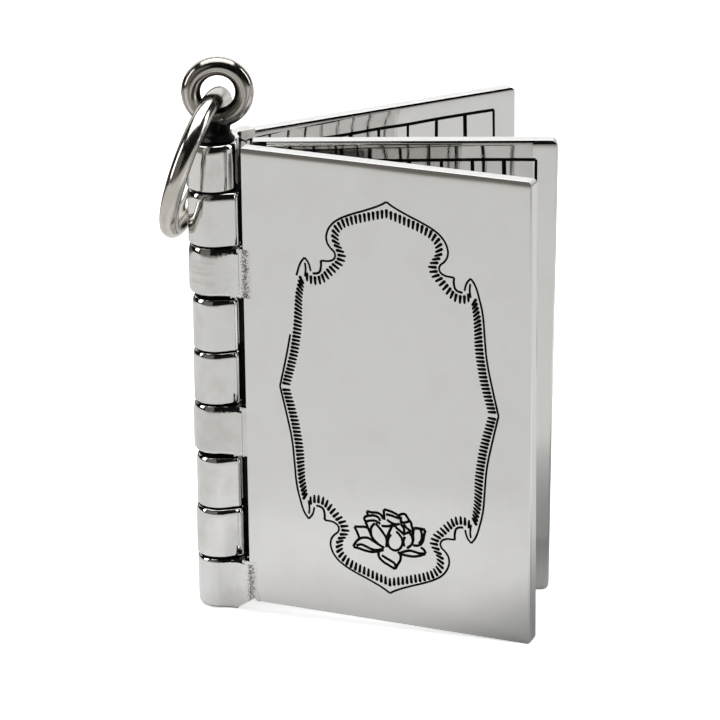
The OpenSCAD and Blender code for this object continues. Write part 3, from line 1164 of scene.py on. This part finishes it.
class PENDANT_OT_jump_ring(Operator):
    """Models the jump ring that hangs in the eye"""

    bl_idname = "pendant.jump_ring"
    bl_label = "Jump ring"

    def execute(self, context):
        sizes = context.scene.pendant_barrel
        piece = torus(sizes.ring_radius, sizes.ring_wire, 192,
                      (0, 0, -sizes.ring_seat - sizes.ring_radius), (0, math.radians(90), 0))
        fix_place(piece)
        turn = Matrix.Rotation(math.radians(sizes.ring_lean), 4, "Y")
        twist = Matrix.Rotation(-math.radians(sizes.ring_twist), 4, "Z")
        eye = Matrix.Translation((sizes.eye_offset, 0, sizes.eye_height))
        fix_place(piece, matrix_world=eye @ turn @ twist)
        piece.name = "jump_ring_silver"
        paint(piece, silver_material("worn silver", 0.15, 0.04 * MM, 0.9, 3000.0, RING_TINT))
        take(piece)
        bpy.ops.object.shade_smooth()
        to_metres(piece)
        hand_over(piece, "ring", "jump_ring")
        return {"FINISHED"}


def softbox(name, size, power, place, target):
    """A rectangular light; its size, place and target are in millimetres."""
    bpy.ops.object.light_add(type="AREA", location=[value * MM for value in place])
    lamp = bpy.context.active_object
    lamp.name = name
    lamp.data.shape = "RECTANGLE"
    lamp.data.size = size[0] * MM
    lamp.data.size_y = size[1] * MM
    lamp.data.energy = power
    aim = Vector(target) * MM - lamp.location
    lamp.rotation_euler = aim.to_track_quat("-Z", "Y").to_euler()
    return lamp


class PENDANT_OT_stage(Operator):
    """Sets the pale floor, the soft lights and the camera"""

    bl_idname = "pendant.stage"
    bl_label = "Stage"

    def execute(self, context):
        look = context.scene.pendant_look
        context.scene.view_settings.view_transform = "Standard"
        self.floor(look)
        self.lights(context, look)
        self.camera(context, context.scene.pendant_camera)
        return {"FINISHED"}

    def floor(self, look):
        """A sweep that lies under the barrel's end and the leaves' free corners."""
        bpy.ops.mesh.primitive_plane_add(size=1, location=(0, 0, 0))
        floor = bpy.context.active_object
        floor.name = "floor"
        fix_place(floor, scale=(*FLOOR_SIZE, 1))
        edit_edges(floor, lambda a, b: min(a.y, b.y) > 300)
        bpy.ops.mesh.extrude_region_move(TRANSFORM_OT_translate={"value": (0, 0, FLOOR_RISE)})
        leave_edit()
        bevel(floor, lambda a, b: min(a.y, b.y) > 300 and max(a.z, b.z) < 1, FLOOR_BEND, 24)
        bpy.ops.object.shade_smooth()
        lie = Vector((0, 0, 1)).rotation_difference(Vector(FLOOR_NORMAL))
        fix_place(floor, rotation_euler=lie.to_euler(), location=(0, 0, FLOOR_DROP))
        to_metres(floor)
        paint(floor, self.paper(look))

    def paper(self, look):
        """White paper. To the silver's reflections alone its tone is painted from place to place, as
        things around the pendant would light and shade it, and the wall glows higher up; to the
        camera the floor glows, which lightens its shadows."""
        material, tree, shader = new_material("pale floor")
        place = object_place(tree)
        x, y, z = axes(tree, place)
        tone = opaque(look.floor_near)
        # Patches painted into the reflections only: a lighter tone by the foot, painted light over the
        # floor's shade there; a white one, a painted glint on the barrel's right corners; painted shade
        # right of the front cover; and painted darkness far to the right
        for painted_patch, centre, inner, outer in (
                ((0.94, 0.94, 0.94), (4, -4, 0), 6, 26), ((1.0, 1.0, 1.0), (44, -27, 0), 8, 22),
                (look.floor_shade, (27, -12, 0), 5, 18), (look.floor_far, (88, 6, 0), 12, 24)):
            share = soft_ramp(tree, distance(tree, place, centre), outer, inner)
            tone = mix(tree, share, tone, opaque(painted_patch))
        # Painted darkness far in front, and behind the pendant, in reflections only
        tone = mix(tree, soft_ramp(tree, y, -100, -200), tone, opaque(look.floor_front))
        behind = maths(tree, "MULTIPLY", soft_ramp(tree, y, look.fade_start, look.fade),
                       soft_ramp(tree, x, 30, 12))
        tone = mix(tree, behind, tone, opaque(look.floor_far))
        rise = soft_ramp(tree, z, look.wall_low, look.wall_high)
        tone = mix(tree, rise, tone, opaque(look.floor))
        # Painted light: the floor glows to the camera, and the wall glows higher up in reflections
        ray = add_node(tree, "LightPath", {}).outputs
        glow = maths(tree, "MULTIPLY", ray["Is Camera Ray"], look.glow)
        shine = maths(tree, "MULTIPLY", rise, ray["Is Glossy Ray"])
        feed(tree, shader, {
            "Base Color": mix(tree, ray["Is Glossy Ray"], opaque(look.floor), tone),
            "Roughness": 0.9,
            "Specular IOR Level": 0.1,
            "Emission Color": (1.0, 1.0, 1.0, 1.0),
            "Emission Strength": maths(tree, "MULTIPLY_ADD", shine, look.wall_glow, glow),
        })
        return material

    def lights(self, context, look):
        softbox("top softbox", (560, 400), look.top_light, (0, 30, 420), (0, 30, 0))
        softbox("left softbox", (100, 220), look.left_light, (-330, -40, 140), (0, 0, 15))
        softbox("right strip", (60, 220), look.right_light, (320, 20, 140), (0, 0, 15))
        panel = softbox("grey panel", (400, 300), look.panel_light, (-255, -325, 130), (0, 0, 60))
        panel.data.color = (1, 0.94, 0.87)
        world = context.scene.world or bpy.data.worlds.new("room")
        context.scene.world = world
        world.use_nodes = True
        back = world.node_tree.nodes["Background"]
        back.inputs["Color"].default_value = (1, 0.93, 0.86, 1)
        back.inputs["Strength"].default_value = look.room

    def camera(self, context, view):
        rise = math.radians(view.elevation)
        forward = Vector((0, math.cos(rise), -math.sin(rise)))
        right = Vector((1, 0, 0))
        up = Vector((0, math.sin(rise), math.cos(rise)))
        roll = math.radians(view.roll)
        side = right * math.cos(roll) + up * math.sin(roll)
        top = up * math.cos(roll) - right * math.sin(roll)
        place = (Vector((view.across, 0, view.height)) - forward * view.distance) * MM
        bpy.ops.object.camera_add(location=(0, 0, 0))
        camera = bpy.context.active_object
        axes = Matrix((side, top, -forward)).transposed().to_4x4()
        camera.matrix_world = Matrix.Translation(place) @ axes
        camera.data.sensor_width = 36
        camera.data.lens = view.lens
        camera.data.clip_start = 0.01
        camera.data.clip_end = 10
        context.scene.camera = camera


class PENDANT_PT_sidebar(Panel):
    """Lists the pendant's pieces, sizes and colours"""

    bl_label = "Book pendant"
    bl_space_type = "VIEW_3D"
    bl_region_type = "UI"
    bl_category = "Pendant"

    def draw(self, context):
        layout = self.layout
        for step in STEPS:
            layout.operator(step.bl_idname)
        for name, group in GROUPS:
            box = layout.box()
            for field in group.__annotations__:
                box.prop(getattr(context.scene, name), field)


STEPS = (
    PENDANT_OT_pin_and_eye,
    PENDANT_OT_jump_ring,
    PENDANT_OT_front_cover,
    PENDANT_OT_middle_leaf,
    PENDANT_OT_back_cover,
    PENDANT_OT_stage,
)
GROUPS = (
    ("pendant_leaves", LeafSizes),
    ("pendant_barrel", BarrelSizes),
    ("pendant_engraving", EngravingSizes),
    ("pendant_look", SilverLook),
    ("pendant_camera", CameraView),
)


def register():
    for name, group in GROUPS:
        bpy.utils.register_class(group)
        setattr(bpy.types.Scene, name, PointerProperty(type=group))
    for step in STEPS:
        bpy.utils.register_class(step)
    bpy.utils.register_class(PENDANT_PT_sidebar)


def unregister():
    bpy.utils.unregister_class(PENDANT_PT_sidebar)
    for step in reversed(STEPS):
        bpy.utils.unregister_class(step)
    for name, group in reversed(GROUPS):
        delattr(bpy.types.Scene, name)
        bpy.utils.unregister_class(group)


def main():
    register()
    bpy.ops.pendant.pin_and_eye()
    bpy.ops.pendant.jump_ring()
    bpy.ops.pendant.front_cover()
    bpy.ops.pendant.middle_leaf()
    bpy.ops.pendant.back_cover()
    bpy.ops.pendant.stage()


if __name__ == "__main__":
    main()
